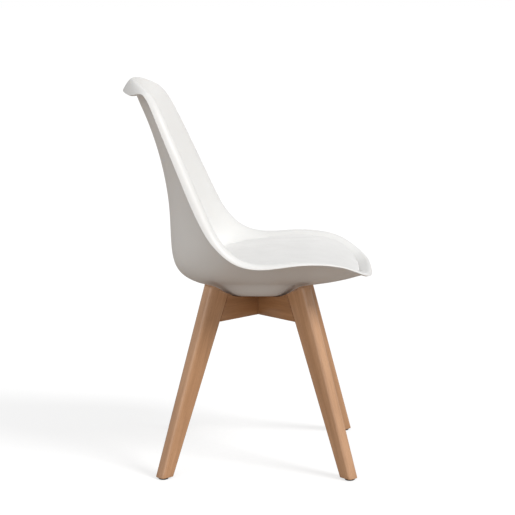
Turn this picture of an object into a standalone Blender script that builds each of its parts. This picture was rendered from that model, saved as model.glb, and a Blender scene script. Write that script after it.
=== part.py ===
"""Dining chair: a moulded bucket seat with a padded cushion, carried by a frame of two crossed wood rails
and four tapered wood legs.

Frame: metres, +Z up. The chair's front faces -Y and the sitter's right hand is at -X. The origin is on the
floor, at the middle of the chair's overall footprint. "forward" and "up" below are measured from the point on
the floor under the crossing of the rails.
"""

from collections import namedtuple
from math import cos, pi, radians, sin, sqrt

import bmesh
import bpy
import numpy as np
from mathutils import Matrix, Vector

# Driving dimensions -----------------------------------------------------------------------------------------
GAP = 0.0003                # left between two pieces that touch
CROSSING_Y = -0.0228        # the crossing of the rails, behind which the back overhangs

# Shell
SHELL_WIDTH = 0.488         # over the rolled edges
SHELL_DEPTH = 0.543         # front lip to the curl at the top of the back
SHELL_RISE = 0.4655         # underside of the boss to the top of the back
SHELL_WALL = 0.0045
ROLL_ANGLE = radians(80)    # how far the edge turns over
ROLL_WIDTH = 0.018          # of the rolled edge, seen square to the surface
ROLL_ENDS = 0.023           # the same at the front lip and along the top
CORNER_POWER = 3.0          # squareness of the outline: 2 is an ellipse
TOP_CURL = (-0.018, -0.039) # from crest to rim at the middle of the top edge, forward and up
FRONT_CURL = (0.000, -0.009)         # the same at the middle of the front lip
CURL_BLEND = 0.84           # how far round the outline the two curls give way to the sides' roll

# Boss under the shell
BOSS_SIZE = 0.106           # side of its flat underside
BOSS_FLARE = 0.045          # how much wider it is on each side where it leaves the belly
BOSS_SQUARENESS = 4.0

# Legs: solid wood with flat faces, the two outer corners well rounded
WOOD_THICKNESS = 0.027      # of legs and rails alike, so that their faces are flush
FOOT_REACH = 0.2938         # from the crossing to a leg's outer edge at the floor
FOOT_WIDTH = 0.0303
LEG_TOP_REACH = 0.1508      # the same at the leg's top
LEG_TOP_WIDTH = 0.0588
LEG_ABOVE_RAIL = 0.0322     # the leg's outer corner, above the top of the rails
LEG_ARRIS = 0.0025          # eased inner corners
LEG_ROUND = 0.0080          # radius of the outer corners

# Rails
RAIL_TOP = 0.3652           # up from the floor, under the boss
RAIL_DEPTH = 0.0465
RAIL_FLAT = 0.066           # half the length of the flat that carries the boss
RAIL_HOLLOW = 1.6           # how strongly the rail's top edge sags between that flat and the leg
RAIL_BOTTOM = RAIL_TOP - RAIL_DEPTH
LEG_TOP = RAIL_TOP + LEG_ABOVE_RAIL

# Fittings
DOWEL_DIAMETER = 0.008
DOWEL_LENGTH = 0.040
DOWEL_HEIGHTS = (0.0165, 0.0405)     # above the rail's underside
DOWEL_CLEARANCE = 0.0003
BOLT_REACH = 0.046          # of the frame bolts from the crossing
BOLT_DIAMETER = 0.006
BOLT_HEAD_DIAMETER = 0.010
BOLT_HEAD_HEIGHT = 0.006
BOLT_HEX = 0.005            # across the flats of its socket
BOLT_HOLE = 0.007
COUNTERBORE_DIAMETER = 0.0165
COUNTERBORE_DEPTH = 0.010
WASHER_DIAMETER = 0.0150
WASHER_HOLE = 0.0066
WASHER_THICKNESS = 0.0012
INSERT_DIAMETER = 0.0095
INSERT_LENGTH = 0.0100
THREAD_ENGAGEMENT = 0.0080

# Feet
GLIDE_DIAMETER = 0.022
GLIDE_THICKNESS = 0.0035
NAIL_DIAMETER = 0.0022
NAIL_HEAD_DIAMETER = 0.0060
NAIL_HEAD_HEIGHT = 0.0012
NAIL_LENGTH = 0.018
NAIL_RECESS = 0.0010        # of the nail's head above the floor

# Cushion and its board
CUSHION_REACH = 0.830       # share of the bowl's half width that the cushion fills
CUSHION_FRONT = 0.222       # forward
CUSHION_FRONT_POWER = 2.8   # squareness of its outline
CUSHION_REAR_POWER = 2.0
CUSHION_REAR_RISE = 0.024   # how high up the back wall the cushion's rear edge lies, above the bowl's floor
CUSHION_ABOVE_RAIL = 0.0885 # its highest part, above the top of the rails
CUSHION_FALL = 0.020        # how much lower its top lies at the rear than at the front
CUSHION_CLEARANCE = 0.0020
CUSHION_EDGE = 0.004        # thickness at its edge
BOARD_LENGTH = 0.190
BOARD_WIDTH = 0.170
BOARD_THICKNESS = 0.009
BOARD_CORNER = 0.045
BOARD_FORWARD = 0.015       # of its middle
BOARD_CLEARANCE = 0.0006
SCREW_SPREAD = (0.052, 0.060)        # of the cushion screws from the board's middle, across and along
SCREW_DIAMETER = 0.004
SCREW_HEAD_DIAMETER = 0.009
SCREW_HEAD_HEIGHT = 0.0025
SCREW_GRIP = 0.0065         # thread inside the board

# The shell's surface, station by station from the front lip up to the top of the back, drawn for a shell of
# DRAWN_SIZE whose boss has its underside at DRAWN_BASE. spine is its inner face on the middle plane, crest the
# line that the sides rise to, both as (forward, up); width is half the width at the crest, as a share of the
# widest; fullness sets how flat the bowl's bottom is; roll carries the rolled edge from the crest to its rim.
DRAWN_SIZE = (0.488, 0.543, 0.4655)
DRAWN_BASE = 0.3652
Station = namedtuple("Station", "spine crest width fullness roll")
STATIONS = (
    Station((0.2465, 0.4310), (0.252, 0.4400), 0.965, 1.40, (0.000, -0.008)),
    Station((0.215, 0.4155), (0.217, 0.4515), 0.985, 1.40, (0.000, -0.007)),
    Station((0.165, 0.4000), (0.168, 0.4660), 1.000, 1.40, (0.000, -0.006)),
    Station((0.080, 0.3885), (0.090, 0.4700), 1.000, 1.40, (0.000, -0.006)),
    Station((-0.010, 0.3865), (0.020, 0.4650), 1.000, 1.40, (-0.002, -0.008)),
    Station((-0.095, 0.3885), (-0.035, 0.4765), 0.995, 1.40, (-0.006, -0.010)),
    Station((-0.152, 0.4050), (-0.070, 0.5070), 0.965, 1.35, (-0.012, -0.010)),
    Station((-0.1785, 0.4380), (-0.0905, 0.5390), 0.935, 1.25, (-0.016, -0.010)),
    Station((-0.1855, 0.4950), (-0.112, 0.5850), 0.895, 1.15, (-0.019, -0.009)),
    Station((-0.1900, 0.5700), (-0.137, 0.6420), 0.850, 1.10, (-0.019, -0.009)),
    Station((-0.2070, 0.6600), (-0.167, 0.7100), 0.810, 1.05, (-0.018, -0.009)),
    Station((-0.2330, 0.7400), (-0.196, 0.7750), 0.770, 1.00, (-0.017, -0.009)),
    Station((-0.2560, 0.7950), (-0.219, 0.8165), 0.740, 1.00, (-0.015, -0.009)),
    Station((-0.2720, 0.8465), (-0.250, 0.8475), 0.715, 1.00, (-0.014, -0.009)),
)

# Places along the shell, from -1 to 1
LIP, SEAT_MIDDLE, BACK_FOOT, TOP = -1.0, -0.3, 0.0, 1.0

# Counts that set how fine the meshes are
SHELL_CELLS = (28, 42)      # across and along
ROLL_CELLS = (4, 6)         # of these, in the rolled edge on each side
CUSHION_CELLS = (16, 20)
BOSS_CELLS = (10, 10)
ROUND_SIDES = 16

COLLECTION_NAME = "dining_chair"
CUTTER_COLLECTION = "cutters"


# Scene ------------------------------------------------------------------------------------------------------
def empty_the_scene():
    for thing in list(bpy.data.objects):
        bpy.data.objects.remove(thing, do_unlink=True)


def make_collection(name):
    collection = bpy.data.collections.new(name)
    bpy.context.scene.collection.children.link(collection)
    return collection


def make_material(name, colour, roughness, metallic=0.0):
    material = bpy.data.materials.new(name)
    material.use_nodes = True
    shader = material.node_tree.nodes["Principled BSDF"]
    shader.inputs["Base Color"].default_value = (*colour, 1.0)
    shader.inputs["Roughness"].default_value = roughness
    shader.inputs["Metallic"].default_value = metallic
    material.diffuse_color = (*colour, 1.0)
    return material


def link_mesh(name, bm, material=None, smooth_angle=None):
    """A new object made of what bm holds, in the chair's collection, or among the cutters without a material."""
    mesh = bpy.data.meshes.new(name)
    bmesh.ops.recalc_face_normals(bm, faces=bm.faces)
    bm.to_mesh(mesh)
    bm.free()
    thing = bpy.data.objects.new(name, mesh)
    if material is None:
        cutters.objects.link(thing)
        thing.hide_render = True
        thing.display_type = "WIRE"
        return thing
    chair.objects.link(thing)
    mesh.materials.append(material)
    if smooth_angle is not None:
        mesh.shade_smooth()
        mesh.set_sharp_from_angle(angle=smooth_angle)
    return thing


def boolean(target, other, operation):
    modifier = target.modifiers.new(f"{operation.lower()}_{other.name}", "BOOLEAN")
    modifier.operation = operation
    modifier.solver = "EXACT"
    modifier.object = other


# Shapes -----------------------------------------------------------------------------------------------------
def add_cylinder(bm, diameter, bottom, top, matrix, sides=ROUND_SIDES):
    """A cylinder round the matrix's own Z, from bottom to top along it."""
    place = matrix @ Matrix.Translation((0.0, 0.0, (bottom + top) / 2))
    bmesh.ops.create_cone(bm, cap_ends=True, segments=sides, radius1=diameter / 2, radius2=diameter / 2,
                          depth=top - bottom, matrix=place)


def turned(name, profile, matrix, material, sides=ROUND_SIDES):
    """A piece turned round Z: its profile of (radius, height) points, outer side first from the top down."""
    bm = bmesh.new()
    points = [bm.verts.new((radius, 0.0, height)) for radius, height in profile]
    for first, second in zip(points, points[1:]):
        bm.edges.new((first, second))
    if profile[0][0] > 0.0:
        bm.edges.new((points[-1], points[0]))
    mesh = bpy.data.meshes.new(name)
    bm.to_mesh(mesh)
    bm.free()
    mesh.materials.append(material)
    thing = bpy.data.objects.new(name, mesh)
    chair.objects.link(thing)
    thing.matrix_world = matrix
    screw = thing.modifiers.new("turn", "SCREW")
    screw.axis = "Z"
    screw.angle = 2 * pi
    screw.steps = sides
    screw.render_steps = sides
    screw.use_merge_vertices = True
    screw.merge_threshold = 0.00001
    screw.use_smooth_shade = True
    return thing


def world(side, forward, up):
    """A point of the chair from its distance across, forward of the crossing, and up from the floor."""
    return Vector((side, CROSSING_Y - forward, up))


def corner_matrix(turn, reach, up):
    """The frame at a reach from the crossing along one leg's diagonal, its X pointing outward."""
    return Matrix.Translation(world(0.0, 0.0, up)) @ Matrix.Rotation(turn, 4, "Z") @ Matrix.Translation(
        (reach, 0.0, 0.0))


# The shell's surface ----------------------------------------------------------------------------------------
def spline_through(values):
    """Second derivatives of the natural cubic spline through values at 0, 1, 2, ..."""
    count = len(values)
    system = np.eye(count)
    right = np.zeros_like(values)
    for i in range(1, count - 1):
        system[i, i - 1:i + 2] = (1.0, 4.0, 1.0)
        right[i] = 6.0 * (values[i - 1] - 2.0 * values[i] + values[i + 1])
    return np.linalg.solve(system, right)


def station_rows():
    """Every station as a row of numbers in metres, stretched from the drawn size to the driving sizes."""
    wide, deep, rise = (SHELL_WIDTH / DRAWN_SIZE[0], SHELL_DEPTH / DRAWN_SIZE[1], SHELL_RISE / DRAWN_SIZE[2])
    crest_width = SHELL_WIDTH / 2 - ROLL_WIDTH

    def stretched(point):
        return point[0] * deep, RAIL_TOP + (point[1] - DRAWN_BASE) * rise

    rows = []
    for s in STATIONS:
        roll = (s.roll[0] * deep, s.roll[1] * rise)
        rows.append((*stretched(s.spine), *stretched(s.crest), s.width * crest_width, s.fullness, *roll))
    return np.array(rows)


def spine_length(rows):
    return sum(sqrt(step[0]**2 + step[1]**2) for step in rows[1:, 0:2] - rows[:-1, 0:2])


def station_at(along):
    """The row of numbers at a place along the shell, from -1 at the front lip to 1 at the top."""
    place = (along + 1.0) / 2.0 * (len(ROWS) - 1)
    i = int(min(max(place, 0.0), len(ROWS) - 1.001))
    t = place - i
    s = 1.0 - t
    return (s * ROWS[i] + t * ROWS[i + 1]
            + ((s**3 - s) * CURVES[i] + (t**3 - t) * CURVES[i + 1]) / 6.0)


def along_where(column, value, low, high):
    """The place along the shell, between low and high, where a station column reaches a value."""
    for _ in range(40):
        middle = (low + high) / 2
        if (station_at(middle)[column] > value) == (station_at(low)[column] > value):
            low = middle
        else:
            high = middle
    return (low + high) / 2


def bowl_point(across, along):
    """The inner face without its rolled edge. across is a share of the crest's half width."""
    row = station_at(along)
    spine, crest, half_width, fullness = row[0:2], row[2:4], row[4], row[5]
    share = min(abs(across), 1.0)
    climb = (1.0 - cos(pi * share**fullness)) / 2.0
    forward, up = spine + (crest - spine) * climb
    return across * half_width, forward, up


def above_bowl(across, along, height):
    """A point at a height above the bowl's face, measured square to it."""
    step = 0.01
    right, left = (Vector(bowl_point(across + d, along)) for d in (step, -step))
    far, near = (Vector(bowl_point(across, along + d)) for d in (step, -step))
    normal = (near - far).cross(right - left).normalized()
    return Vector(bowl_point(across, along)) + normal * (height if normal.z > 0.0 else -height)


def rounded_square(a, b, power):
    """Carries a square of -1..1 onto a square with round corners, ring by ring."""
    ring = max(abs(a), abs(b))
    if ring == 0.0:
        return 0.0, 0.0
    a, b = a / ring, b / ring
    a, b = a * sqrt(1.0 - b * b / 2.0), b * sqrt(1.0 - a * a / 2.0)
    size = (abs(a)**power + abs(b)**power)**(-1.0 / power)
    return a * size * ring, b * size * ring


def shell_point(a, b):
    """The shell's inner face, rolled edge included, over a square of -1..1."""
    ring = max(abs(a), abs(b))
    flat = 1.0 - ROLL_CELLS[0] / (SHELL_CELLS[0] / 2)
    direction = rounded_square(a / ring, b / ring, CORNER_POWER) if ring else (0.0, 0.0)
    inner = min(ring / flat, 1.0)
    turn = max(ring - flat, 0.0) / (1.0 - flat) * ROLL_ANGLE
    out = sin(turn) / sin(ROLL_ANGLE)
    over = (1.0 - cos(turn)) / (1.0 - cos(ROLL_ANGLE))
    along = direction[1] * (inner * CREST_END + out * (1.0 - CREST_END))
    row = station_at(along)
    widening = out * ROLL_WIDTH / row[4]
    side, forward, up = bowl_point(direction[0] * (inner + widening), along)
    back, down = rim_shift(direction[1], row)
    return side, forward + over * back, up + over * down


def rim_shift(endness, row):
    """From crest to rim, forward and up: the row's own roll at the sides, the curls at the two ends."""
    share = min(max((abs(endness) - CURL_BLEND) / (1.0 - CURL_BLEND), 0.0), 1.0)
    share = share * share * (3.0 - 2.0 * share)
    curl = TOP_CURL if endness > 0.0 else FRONT_CURL
    return tuple((1.0 - share) * own + share * end for own, end in zip(row[6:8], curl))


def make_shell(material):
    bm = bmesh.new()
    bmesh.ops.create_grid(bm, x_segments=SHELL_CELLS[0], y_segments=SHELL_CELLS[1], size=1.0)
    for vert in bm.verts:
        vert.co = world(*shell_point(vert.co.x, vert.co.y))
    shell = link_mesh("seat_shell", bm, material)
    if shell.data.polygons[len(shell.data.polygons) // 2].normal.z < 0.0:
        shell.data.flip_normals()
    wall = shell.modifiers.new("wall", "SOLIDIFY")
    wall.thickness = SHELL_WALL
    wall.offset = -1.0
    wall.use_even_offset = True
    boolean(shell, make_boss(), "UNION")
    shell.data.shade_smooth()
    return shell


def floor_up(x, forward):
    """Height of the bowl's floor over a point of the plan."""
    along = along_where(0, forward, LIP, BACK_FOOT)
    return bowl_point(x / station_at(along)[4], along)[2]


def closed_pad(name, cells, upper, lower, material=None):
    """A closed piece between two faces, each a square of cells laid out by a function, joined at the edge."""
    columns, rows = cells
    bm = bmesh.new()
    layers = []
    for surface in (upper, lower):
        layer = [[bm.verts.new(world(*surface(2.0 * i / columns - 1.0, 2.0 * j / rows - 1.0)))
                  for j in range(rows + 1)] for i in range(columns + 1)]
        for i in range(columns):
            for j in range(rows):
                bm.faces.new((layer[i][j], layer[i + 1][j], layer[i + 1][j + 1], layer[i][j + 1]))
        layers.append(layer)
    border = [(i, 0) for i in range(columns)] + [(columns, j) for j in range(rows)]
    border += [(i, rows) for i in range(columns, 0, -1)] + [(0, j) for j in range(rows, 0, -1)]
    for (i, j), (k, l) in zip(border, border[1:] + border[:1]):
        bm.faces.new((layers[0][i][j], layers[0][k][l], layers[1][k][l], layers[1][i][j]))
    return link_mesh(name, bm, material)


def make_boss():
    """The block moulded under the belly: a rounded square that flares up into the middle of the wall."""
    def under(a, b):
        side, forward = (BOSS_SIZE / 2 * c for c in rounded_square(a, b, BOSS_SQUARENESS))
        return side, forward, RAIL_TOP + GAP

    def within(a, b):
        side, forward = ((BOSS_SIZE / 2 + BOSS_FLARE) * c for c in rounded_square(a, b, BOSS_SQUARENESS))
        return side, forward, floor_up(side, forward) - SHELL_WALL / 2

    return closed_pad("boss_block", BOSS_CELLS, within, under)


# Wood frame -------------------------------------------------------------------------------------------------
def leg_outer(up):
    """How far a leg's outer edge is from the crossing at a height."""
    return FOOT_REACH + (LEG_TOP_REACH - FOOT_REACH) * up / LEG_TOP


def leg_inner(up):
    foot = FOOT_REACH - FOOT_WIDTH
    return foot + (LEG_TOP_REACH - LEG_TOP_WIDTH - foot) * up / LEG_TOP


def leg_section(inner, outer):
    """A leg's outline: flat inner face with eased corners, outer edge with rounded ones."""
    half = WOOD_THICKNESS / 2
    steps = ROUND_SIDES // 4
    corner = []
    for i in range(steps + 1):
        angle = pi / 2 * i / steps
        corner.append((outer - LEG_ROUND * (1.0 - cos(angle)), half - LEG_ROUND * (1.0 - sin(angle))))
    points = [(inner, -half + LEG_ARRIS), (inner + LEG_ARRIS, -half)]
    points += [(reach, -side) for reach, side in reversed(corner)] + corner
    points += [(inner + LEG_ARRIS, half), (inner, half - LEG_ARRIS)]
    return points


def make_leg(name, turn, material):
    """A straight taper between two sections. Its top is cut square to its outer edge."""
    bottom = GLIDE_THICKNESS + GAP
    bm = bmesh.new()
    loops = []
    for level in (bottom, LEG_TOP):
        verts = []
        for reach, side in leg_section(leg_inner(level), leg_outer(level)):
            up = level
            if level == LEG_TOP:
                share = (reach - leg_inner(level)) / (leg_outer(level) - leg_inner(level))
                up = leg_top_height(share)
                reach = leg_inner(up) + share * (leg_outer(up) - leg_inner(up))
            verts.append(bm.verts.new((reach, side, up)))
        loops.append(verts)
    bm.faces.new(loops[0])
    bm.faces.new(loops[1])
    count = len(loops[0])
    for i in range(count):
        j = (i + 1) % count
        bm.faces.new((loops[0][i], loops[0][j], loops[1][j], loops[1][i]))
    leg = link_mesh(name, bm, material, radians(30))
    leg.matrix_world = corner_matrix(turn, 0.0, 0.0)
    return leg


def leg_top_height(share):
    """The leg's top, cut square to the outer edge, from its inner face (0) to its outer edge (1)."""
    slope = (FOOT_REACH - LEG_TOP_REACH) / LEG_TOP
    return LEG_TOP - (1.0 - share) * LEG_TOP_WIDTH * slope


def rail_outline():
    """Half of a rail seen from the side, as (reach, up) from the middle of its underside outward and back."""
    top = leg_top_height(0.0)
    points = [(leg_inner(RAIL_BOTTOM) - GAP, RAIL_BOTTOM), (leg_inner(top) - GAP, top)]
    rise = top - RAIL_TOP
    run = leg_inner(top) - GAP - RAIL_FLAT
    for i in range(1, 5):
        share = 1.0 - i / 5
        points.append((RAIL_FLAT + run * share, RAIL_TOP + rise * share**RAIL_HOLLOW))
    points.append((RAIL_FLAT, RAIL_TOP))
    return points


def make_rail(name, turn, material, keeps_top):
    """A rail from leg to leg; half of its depth is cut away where the other one crosses it."""
    half = rail_outline()
    outline = half + [(-reach, up) for reach, up in reversed(half)]
    bm = bmesh.new()
    front = [bm.verts.new((reach, -WOOD_THICKNESS / 2, up)) for reach, up in outline]
    face = bm.faces.new(front)
    grown = bmesh.ops.extrude_face_region(bm, geom=[face])
    verts = [v for v in grown["geom"] if isinstance(v, bmesh.types.BMVert)]
    bmesh.ops.translate(bm, verts=verts, vec=(0.0, WOOD_THICKNESS, 0.0))
    rail = link_mesh(name, bm, material)
    rail.matrix_world = corner_matrix(turn, 0.0, 0.0)
    middle = (RAIL_BOTTOM + RAIL_TOP) / 2
    notch = bmesh.new()
    bmesh.ops.create_cube(notch, size=1.0)
    width = WOOD_THICKNESS + 2 * GAP
    bottom, top = (RAIL_BOTTOM - 0.01, middle + GAP / 2) if keeps_top else (middle - GAP / 2, RAIL_TOP + 0.01)
    bmesh.ops.scale(notch, verts=notch.verts, vec=(width, 2 * WOOD_THICKNESS, top - bottom))
    bmesh.ops.translate(notch, verts=notch.verts, vec=(0.0, 0.0, (bottom + top) / 2))
    bmesh.ops.transform(notch, matrix=rail.matrix_world, verts=notch.verts)
    boolean(rail, link_mesh(f"{name}_notch", notch), "DIFFERENCE")
    return rail


# Fittings ---------------------------------------------------------------------------------------------------
def drill(targets, name, holes):
    """Cuts cylinders (diameter, bottom, top, matrix) out of every target."""
    bm = bmesh.new()
    for hole in holes:
        add_cylinder(bm, *hole)
    cutter = link_mesh(name, bm)
    for target in targets:
        boolean(target, cutter, "DIFFERENCE")


def make_dowels(corner, turn, leg, rail, material):
    """Two dowels lying along the rail, half in it and half in the leg."""
    holes = []
    for level, height in zip(("lower", "upper"), DOWEL_HEIGHTS):
        up = RAIL_BOTTOM + height
        lying = corner_matrix(turn, leg_inner(up), up) @ Matrix.Rotation(pi / 2, 4, "Y")
        half = DOWEL_LENGTH / 2
        ease = 0.001
        radius = DOWEL_DIAMETER / 2
        profile = ((0.0, half), (radius - ease, half), (radius, half - ease), (radius, ease - half),
                   (radius - ease, -half), (0.0, -half))
        turned(f"dowel_{level}_{corner}", profile, lying, material, 12)
        room = half + 2 * DOWEL_CLEARANCE
        holes.append((DOWEL_DIAMETER + 2 * DOWEL_CLEARANCE, -room, room, lying, 12))
    drill((leg, rail), f"dowel_holes_{corner}", holes)


def make_bolt(corner, turn, rail, shell, steel, brass):
    """A bolt up through the rail into a threaded insert in the boss, with its washer in a counterbore."""
    seat = RAIL_BOTTOM + COUNTERBORE_DEPTH
    upright = corner_matrix(turn, BOLT_REACH, 0.0)
    washer_base = seat - GAP - WASHER_THICKNESS
    washer_profile = ((WASHER_DIAMETER / 2, washer_base + WASHER_THICKNESS), (WASHER_DIAMETER / 2, washer_base),
                      (WASHER_HOLE / 2, washer_base), (WASHER_HOLE / 2, washer_base + WASHER_THICKNESS))
    turned(f"frame_washer_{corner}", washer_profile, upright, steel)
    boss = RAIL_TOP + GAP
    head_top = washer_base - GAP
    head_base = head_top - BOLT_HEAD_HEIGHT
    shank = BOLT_DIAMETER / 2
    socket = BOLT_HEX / 2
    tip = boss + THREAD_ENGAGEMENT
    bolt_profile = ((0.0, tip), (shank, tip), (shank, head_top), (BOLT_HEAD_DIAMETER / 2, head_top),
                    (BOLT_HEAD_DIAMETER / 2, head_base), (socket, head_base),
                    (socket, head_base + BOLT_HEAD_HEIGHT / 2), (0.0, head_base + BOLT_HEAD_HEIGHT / 2))
    turned(f"frame_bolt_{corner}", bolt_profile, upright, steel)
    outer, bore = INSERT_DIAMETER / 2, shank + GAP
    insert_base = boss + GAP
    insert_profile = ((outer, insert_base + INSERT_LENGTH), (outer, insert_base), (bore, insert_base),
                      (bore, insert_base + INSERT_LENGTH))
    turned(f"shell_insert_{corner}", insert_profile, upright, brass)
    drill((rail,), f"bolt_hole_{corner}", ((BOLT_HOLE, RAIL_BOTTOM - 0.01, RAIL_TOP + 0.01, upright),))
    drill((rail,), f"counterbore_{corner}", ((COUNTERBORE_DIAMETER, RAIL_BOTTOM - 0.01, seat, upright),))
    pocket = insert_base + INSERT_LENGTH + GAP
    drill((shell,), f"insert_pocket_{corner}", ((INSERT_DIAMETER + 2 * GAP, boss - 0.005, pocket, upright),))


def make_glide(corner, turn, leg, plastic, steel):
    """A pad under the foot and the nail that holds it, its head sunk clear of the floor."""
    reach = (leg_inner(0.0) + leg_outer(0.0)) / 2
    upright = corner_matrix(turn, reach, 0.0)
    rim, head, hole = GLIDE_DIAMETER / 2, NAIL_HEAD_DIAMETER / 2 + GAP, NAIL_DIAMETER / 2 + GAP
    shelf = NAIL_RECESS + NAIL_HEAD_HEIGHT + GAP
    ease = 0.0005
    profile = ((rim - ease, GLIDE_THICKNESS), (rim, GLIDE_THICKNESS - ease), (rim, ease), (rim - ease, 0.0),
               (head, 0.0), (head, shelf), (hole, shelf), (hole, GLIDE_THICKNESS))
    turned(f"glide_{corner}", profile, upright, plastic, 20)
    tip = NAIL_RECESS + NAIL_LENGTH
    shank = NAIL_DIAMETER / 2
    nail_profile = ((0.0, tip), (shank, tip - 2 * shank), (shank, NAIL_RECESS + NAIL_HEAD_HEIGHT),
                    (NAIL_HEAD_DIAMETER / 2, NAIL_RECESS + NAIL_HEAD_HEIGHT),
                    (NAIL_HEAD_DIAMETER / 2, NAIL_RECESS), (0.0, NAIL_RECESS))
    turned(f"glide_nail_{corner}", nail_profile, upright, steel, 12)
    drill((leg,), f"nail_hole_{corner}", ((NAIL_DIAMETER + 2 * GAP, -0.001, tip + GAP, upright, 12),))


# Cushion ----------------------------------------------------------------------------------------------------
def cushion_domain(a, b):
    """Where a point of the cushion's square lies in the bowl, as (across, along)."""
    front = along_where(0, CUSHION_FRONT * SHELL_DEPTH / DRAWN_SIZE[1], LIP, SEAT_MIDDLE)
    floor = bowl_point(0.0, SEAT_MIDDLE)[2]
    rear = along_where(1, floor + CUSHION_REAR_RISE, SEAT_MIDDLE, TOP)
    across, along = rounded_square(a, b, CUSHION_REAR_POWER if b > 0.0 else CUSHION_FRONT_POWER)
    return across * CUSHION_REACH, (front + rear) / 2 + along * (rear - front) / 2


def cushion_top(a, b):
    """The cushion's upper face: level with the bowl's wall at its edge, swelling to its full height."""
    ring = max(abs(a), abs(b))
    side, forward, _ = above_bowl(*cushion_domain(a, b), CUSHION_CLEARANCE)
    rim = bowl_point(*cushion_domain(a / ring, b / ring))[2] if ring else 0.0
    rim += CUSHION_EDGE
    rearward = (b + 1.0) / 2.0
    top = RAIL_TOP + CUSHION_ABOVE_RAIL * SHELL_RISE / DRAWN_SIZE[2] - CUSHION_FALL * rearward**2
    share = ring**3
    return side, forward, rim * share + top * (1.0 - share)


def cushion_bottom(a, b):
    """The cushion's underside: it follows the bowl, and lies on the board in the middle."""
    side, forward, up = above_bowl(*cushion_domain(a, b), CUSHION_CLEARANCE)
    return side, forward, max(up, BOARD_BASE + BOARD_THICKNESS + GAP)


def board_base():
    """Underside of the board: it rests on the bowl's floor, clear of the wall all round."""
    highest = 0.0
    for along in np.linspace(-0.75, -0.1, 40):
        for across in np.linspace(0.0, 0.6, 25):
            side, forward, up = bowl_point(across, along)
            inside = side <= BOARD_WIDTH / 2 and abs(forward - BOARD_FORWARD) <= BOARD_LENGTH / 2
            corner = side > BOARD_WIDTH / 2 - 0.6 * BOARD_CORNER
            corner = corner and abs(forward - BOARD_FORWARD) > BOARD_LENGTH / 2 - 0.6 * BOARD_CORNER
            if inside and not corner:
                highest = max(highest, up)
    return highest + BOARD_CLEARANCE


def make_board(material):
    bm = bmesh.new()
    bmesh.ops.create_cube(bm, size=1.0)
    bmesh.ops.scale(bm, verts=bm.verts, vec=(BOARD_WIDTH, BOARD_LENGTH, BOARD_THICKNESS))
    upright = [e for e in bm.edges if abs(e.verts[0].co.z - e.verts[1].co.z) > BOARD_THICKNESS / 2]
    bmesh.ops.bevel(bm, geom=upright, offset=BOARD_CORNER, segments=6, affect="EDGES", profile=0.5)
    board = link_mesh("cushion_board", bm, material)
    board.location = world(0.0, BOARD_FORWARD, BOARD_BASE + BOARD_THICKNESS / 2)
    return board


def make_cushion_screws(shell, board, steel):
    """Four screws up through the shell's floor into the board."""
    for fore in (-1, 1):
        for side in (-1, 1):
            name = f"{'front' if fore > 0 else 'rear'}_{'left' if side > 0 else 'right'}"
            x, forward = side * SCREW_SPREAD[0], BOARD_FORWARD + fore * SCREW_SPREAD[1]
            upright = Matrix.Translation(world(x, forward, 0.0))
            seat = screw_seat(x, forward)
            tip = BOARD_BASE + SCREW_GRIP
            shank, head = SCREW_DIAMETER / 2, SCREW_HEAD_DIAMETER / 2
            base = seat - SCREW_HEAD_HEIGHT
            profile = ((0.0, tip), (shank, tip - shank), (shank, seat), (head, seat),
                       (head, base + 0.0008), (head - 0.0008, base), (0.0, base))
            turned(f"cushion_screw_{name}", profile, upright, steel)
            drill((shell, board), f"screw_hole_{name}", (
                (SCREW_DIAMETER + 2 * GAP, seat - 0.001, tip + GAP, upright, 12),))
            drill((shell,), f"screw_seat_{name}", (
                (SCREW_HEAD_DIAMETER + 4 * GAP, base - 0.02, seat + GAP, upright, 16),))


def screw_seat(x, forward):
    """Height of the flat spot-face, cut a little way into the belly, on which a screw's head seats."""
    return floor_up(x, forward) - SHELL_WALL * 0.55


# The chair --------------------------------------------------------------------------------------------------
empty_the_scene()
chair = make_collection(COLLECTION_NAME)
cutters = make_collection(CUTTER_COLLECTION)
ROWS = station_rows()
CURVES = spline_through(ROWS)
CREST_END = 1.0 - 2 * ROLL_ENDS / spine_length(ROWS)     # where along the shell the curls begin
BOARD_BASE = board_base()

white_plastic = make_material("shell_plastic", (0.80, 0.80, 0.78), 0.42)
white_cover = make_material("cushion_cover", (0.76, 0.76, 0.74), 0.55)
beech = make_material("beech", (0.56, 0.33, 0.19), 0.50)
plywood = make_material("plywood", (0.55, 0.38, 0.22), 0.65)
steel = make_material("zinc_steel", (0.55, 0.55, 0.56), 0.35, 1.0)
brass = make_material("insert_brass", (0.62, 0.45, 0.20), 0.35, 1.0)
dark_plastic = make_material("glide_plastic", (0.10, 0.095, 0.09), 0.55)

seat_shell = make_shell(white_plastic)
seat_cushion = closed_pad("seat_cushion", CUSHION_CELLS, cushion_top, cushion_bottom, white_cover)
seat_cushion.data.shade_smooth()
cushion_board = make_board(plywood)
make_cushion_screws(seat_shell, cushion_board, steel)

rails = {
    "upper": make_rail("rail_upper", radians(45), beech, True),
    "lower": make_rail("rail_lower", radians(-45), beech, False),
}
CORNERS = (("front_left", radians(-45), "lower"), ("front_right", radians(-135), "upper"),
           ("rear_left", radians(45), "upper"), ("rear_right", radians(135), "lower"))
for corner, turn, level in CORNERS:
    leg = make_leg(f"leg_{corner}", turn, beech)
    make_dowels(corner, turn, leg, rails[level], beech)
    make_bolt(corner, turn, rails[level], seat_shell, steel, brass)
    make_glide(corner, turn, leg, dark_plastic, steel)
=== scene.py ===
# %% [markdown]
# # A dining chair: moulded shell, fitted cushion, splayed beech legs
#
# The solid model of the chair is loaded first, as a fixed frame: it says where everything is. The pieces
# that show are then made again around it, finer, with the finishes of the real ones. Each step is a cell
# that can be read and changed by itself.

from collections import namedtuple
from math import cos, pi, radians, sin, sqrt

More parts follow.
